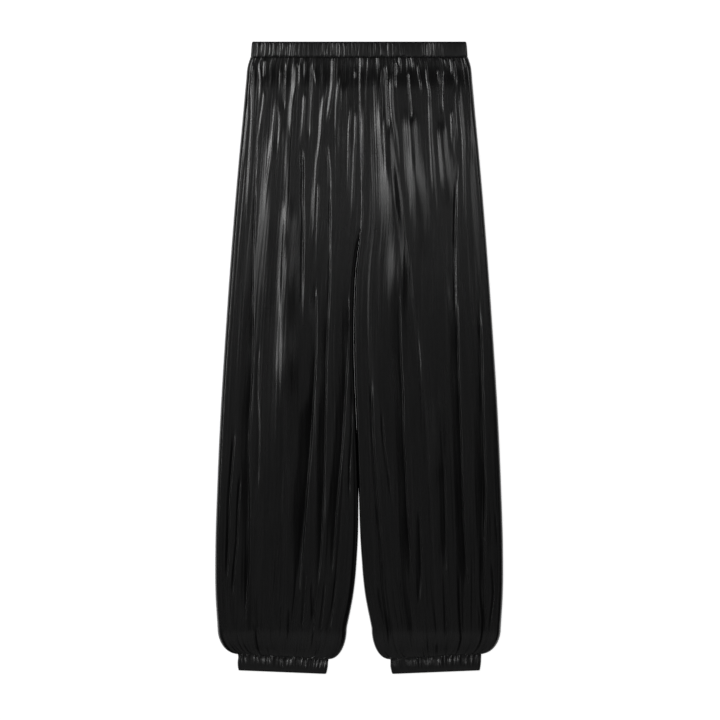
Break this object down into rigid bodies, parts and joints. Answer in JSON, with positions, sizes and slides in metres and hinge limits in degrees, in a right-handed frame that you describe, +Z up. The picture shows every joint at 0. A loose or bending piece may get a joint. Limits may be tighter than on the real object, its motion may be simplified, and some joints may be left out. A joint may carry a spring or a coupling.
{
  "type": "balloon-leg palazzo trousers laid flat",
  "caption": "Full-length balloon-leg trousers in glossy black satin laid flat, gathered into an elastic waistband and elastic ankle cuffs.",
  "frame": {"origin": "middle of the flat outline, on the surface that the garment lies on", "axes": "+Y towards the waist, +X towards the wearer's left, +Z up out of the front"},
  "size_m": [0.456, 1, 0.0128],
  "materials": {
    "satin": "glossy black satin with a fine vertical grain",
    "ruched_satin": "glossy black satin ruched over elastic"
  },
  "bodies": {
    "root": {"waistband": "ruched_satin", "left_leg_front": "satin", "right_leg_front": "satin", "left_leg_back": "satin", "right_leg_back": "satin", "left_cuff": "ruched_satin", "right_cuff": "ruched_satin"}
  },
  "joints": []
}
